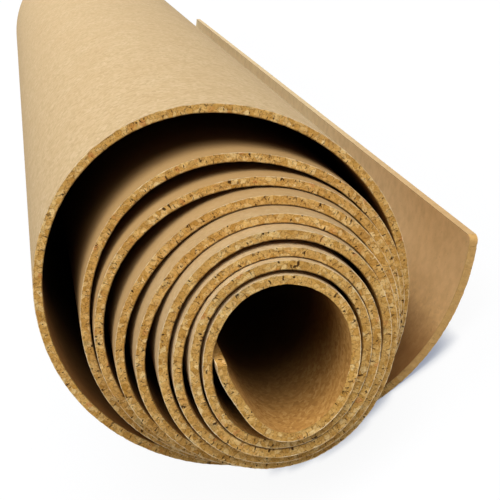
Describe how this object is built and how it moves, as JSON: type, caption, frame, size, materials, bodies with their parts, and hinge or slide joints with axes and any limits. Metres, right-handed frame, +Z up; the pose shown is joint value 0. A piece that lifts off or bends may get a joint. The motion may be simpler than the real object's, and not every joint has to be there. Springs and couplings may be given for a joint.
{
  "type": "cork underlayment roll",
  "caption": "Sheet of granulated cork wound loosely into a long roll, with an open bore, telescoped ends and a free flap at the side.",
  "frame": {"origin": "middle of the footprint's bounding box, at the height the roll rests on", "axes": "+Y along the roll's axis, away from the end seen in the picture; +Z up; +X towards the free flap"},
  "size_m": [0.2737, 1.316, 0.2578],
  "materials": {
    "cork": "matte"
  },
  "bodies": {
    "root": {"cork_sheet": "cork"}
  },
  "joints": []
}
